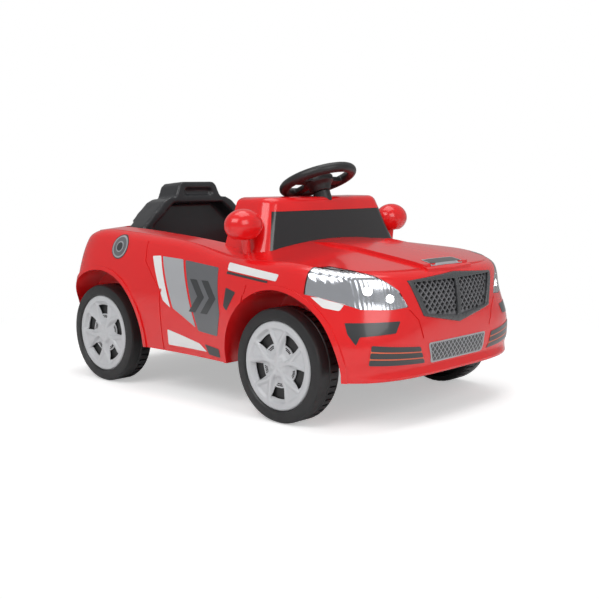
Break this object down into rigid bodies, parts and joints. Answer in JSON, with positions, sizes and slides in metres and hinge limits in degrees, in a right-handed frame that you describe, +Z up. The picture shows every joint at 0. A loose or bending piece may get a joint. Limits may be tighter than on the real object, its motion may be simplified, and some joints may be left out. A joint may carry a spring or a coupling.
{
  "type": "electric ride-on car",
  "caption": "Child's battery ride-on car with moulded bodywork, bucket seat, steering wheel linked to front knuckles, geared rear wheel drive, foot pedal, lamps, mirrors and grille.",
  "frame": {"origin": "middle of the car's bounding box, on the floor under the tyres", "axes": "+X forward along the car, +Y to its left, +Z up"},
  "size_m": [0.9579, 0.5956, 0.5027],
  "materials": {
    "body_red": "gloss",
    "screen_film": "gloss",
    "black_plastic": "satin",
    "switch_plastic": "gloss",
    "mirror_glass": "mirror",
    "lamp_lens": "clear",
    "lamp_chrome": "bright",
    "lamp_bulb": "clear",
    "tail_lens": "gloss",
    "grille_dark": "satin",
    "grille_net": "satin",
    "seat_black": "satin",
    "tyre_black": "satin",
    "cap_silver": "silver",
    "bush_white": "satin",
    "gear_steel": "zinc plated",
    "bracket_steel": "black paint",
    "gearbox_grey": "matte"
  },
  "bodies": {
    "chassis": {"body_shell": "body_red", "windscreen_cowl": "body_red", "mirror_right": "body_red", "mirror_left": "body_red", "windscreen_film": "screen_film", "chassis_pan": "black_plastic", "dash_panel": "black_plastic", "charge_socket": "black_plastic", "column_bush": "black_plastic", "pedal_base": "black_plastic", "control_box": "black_plastic", "battery": "black_plastic", "mirror_glass_right": "mirror_glass", "mirror_glass_left": "mirror_glass", "headlight_lens_right": "lamp_lens", "headlight_lens_left": "lamp_lens", "headlight_reflector_right": "lamp_chrome", "headlight_reflector_left": "lamp_chrome", "headlight_bulbs": "lamp_bulb", "tail_lamp_right": "tail_lens", "tail_lamp_left": "tail_lens", "grille_frame": "grille_dark", "grille_mesh": "grille_net", "seat": "seat_black", "kingpins": "gear_steel", "rear_axle": "gear_steel", "rear_axle_nuts": "gear_steel", "motor": "gear_steel", "column_bracket": "bracket_steel", "front_axle_beam": "bracket_steel", "rear_axle_brackets": "bracket_steel", "gearbox_inner_case": "gearbox_grey", "gearbox_outer_case": "gearbox_grey"},
    "steering": {"steering_wheel": "black_plastic", "steering_column": "gear_steel"},
    "horn": {"horn_button": "switch_plastic"},
    "music": {"music_button": "switch_plastic"},
    "tie": {"tie_bar": "bracket_steel"},
    "right_knuckle": {"knuckle_right": "bracket_steel", "front_axle_nut_right": "gear_steel"},
    "left_knuckle": {"knuckle_left": "bracket_steel", "front_axle_nut_left": "gear_steel"},
    "pinion": {"motor_pinion": "gear_steel"},
    "idler": {"idler_gear": "bush_white"},
    "pedal": {"foot_pedal": "black_plastic"},
    "power_rocker": {"power_switch": "switch_plastic"},
    "direction_rocker": {"direction_switch": "switch_plastic"},
    "front_right_wheel": {"tyre_front_right": "tyre_black", "hub_cap_front_right": "cap_silver", "wheel_bush_front_right": "bush_white"},
    "front_left_wheel": {"tyre_front_left": "tyre_black", "hub_cap_front_left": "cap_silver", "wheel_bush_front_left": "bush_white"},
    "rear_right_wheel": {"tyre_rear_right": "tyre_black", "hub_cap_rear_right": "cap_silver", "wheel_bush_rear_right": "bush_white"},
    "rear_left_wheel": {"tyre_rear_left": "tyre_black", "hub_cap_rear_left": "cap_silver", "wheel_bush_rear_left": "bush_white", "output_gear": "bush_white"}
  },
  "joints": [
    {"name": "steering_turn", "type": "hinge", "parent": "chassis", "child": "steering", "pos_m": [0.101, 0, 0.463], "axis": [-0.3746, 0, 0.9272], "range_deg": [-40, 40]},
    {"name": "tie_slide", "type": "slide", "parent": "chassis", "child": "tie", "axis": [0, 1, 0], "range_m": [-0.0193, 0.0193]},
    {"name": "right_knuckle_turn", "type": "hinge", "parent": "chassis", "child": "right_knuckle", "pos_m": [0.257, -0.2, 0.112], "axis": [0, 0, 1], "range_deg": [-21.4, 21.4]},
    {"name": "left_knuckle_turn", "type": "hinge", "parent": "chassis", "child": "left_knuckle", "pos_m": [0.257, 0.2, 0.112], "axis": [0, 0, 1], "range_deg": [-21.4, 21.4]},
    {"name": "front_right_spin", "type": "hinge", "parent": "right_knuckle", "child": "front_right_wheel", "pos_m": [0.257, -0.26, 0.112], "axis": [0, 1, 0], "continuous": true},
    {"name": "front_left_spin", "type": "hinge", "parent": "left_knuckle", "child": "front_left_wheel", "pos_m": [0.257, 0.26, 0.112], "axis": [0, 1, 0], "continuous": true},
    {"name": "rear_right_spin", "type": "hinge", "parent": "chassis", "child": "rear_right_wheel", "pos_m": [-0.309, -0.26, 0.112], "axis": [0, 1, 0], "continuous": true},
    {"name": "rear_left_spin", "type": "hinge", "parent": "chassis", "child": "rear_left_wheel", "pos_m": [-0.309, 0.26, 0.112], "axis": [0, 1, 0], "continuous": true},
    {"name": "idler_spin", "type": "hinge", "parent": "chassis", "child": "idler", "pos_m": [-0.27671, 0.19, 0.13909], "axis": [0, 1, 0], "continuous": true},
    {"name": "pinion_spin", "type": "hinge", "parent": "chassis", "child": "pinion", "pos_m": [-0.24135, 0.19, 0.14661], "axis": [0, 1, 0], "continuous": true},
    {"name": "horn_press", "type": "slide", "parent": "steering", "child": "horn", "axis": [0.3746, 0, -0.9272], "range_m": [0, 0.003], "stiffness_N_per_m": 400, "springref_m": -0.001},
    {"name": "music_press", "type": "slide", "parent": "steering", "child": "music", "axis": [0.3746, 0, -0.9272], "range_m": [0, 0.003], "stiffness_N_per_m": 400, "springref_m": -0.001},
    {"name": "pedal_press", "type": "hinge", "parent": "chassis", "child": "pedal", "pos_m": [-0.007, -0.07, 0.1165], "axis": [0, 1, 0], "range_deg": [0, 11], "stiffness_Nm_per_rad": 3, "springref_deg": -6.88},
    {"name": "power_rock", "type": "hinge", "parent": "chassis", "child": "power_rocker", "pos_m": [0.0415, -0.058, 0.385], "axis": [0, 1, 0], "range_deg": [-8, 8]},
    {"name": "direction_rock", "type": "hinge", "parent": "chassis", "child": "direction_rocker", "pos_m": [0.0415, 0.058, 0.385], "axis": [0, 1, 0], "range_deg": [-8, 8]}
  ],
  "couplings": [
    {"joint": "tie_slide", "follows": "steering_turn", "m_per_rad": -0.0276},
    {"joint": "right_knuckle_turn", "follows": "steering_turn", "ratio": 0.534},
    {"joint": "left_knuckle_turn", "follows": "steering_turn", "ratio": 0.534},
    {"joint": "idler_spin", "follows": "rear_left_spin", "ratio": -3},
    {"joint": "pinion_spin", "follows": "rear_left_spin", "ratio": 9}
  ]
}
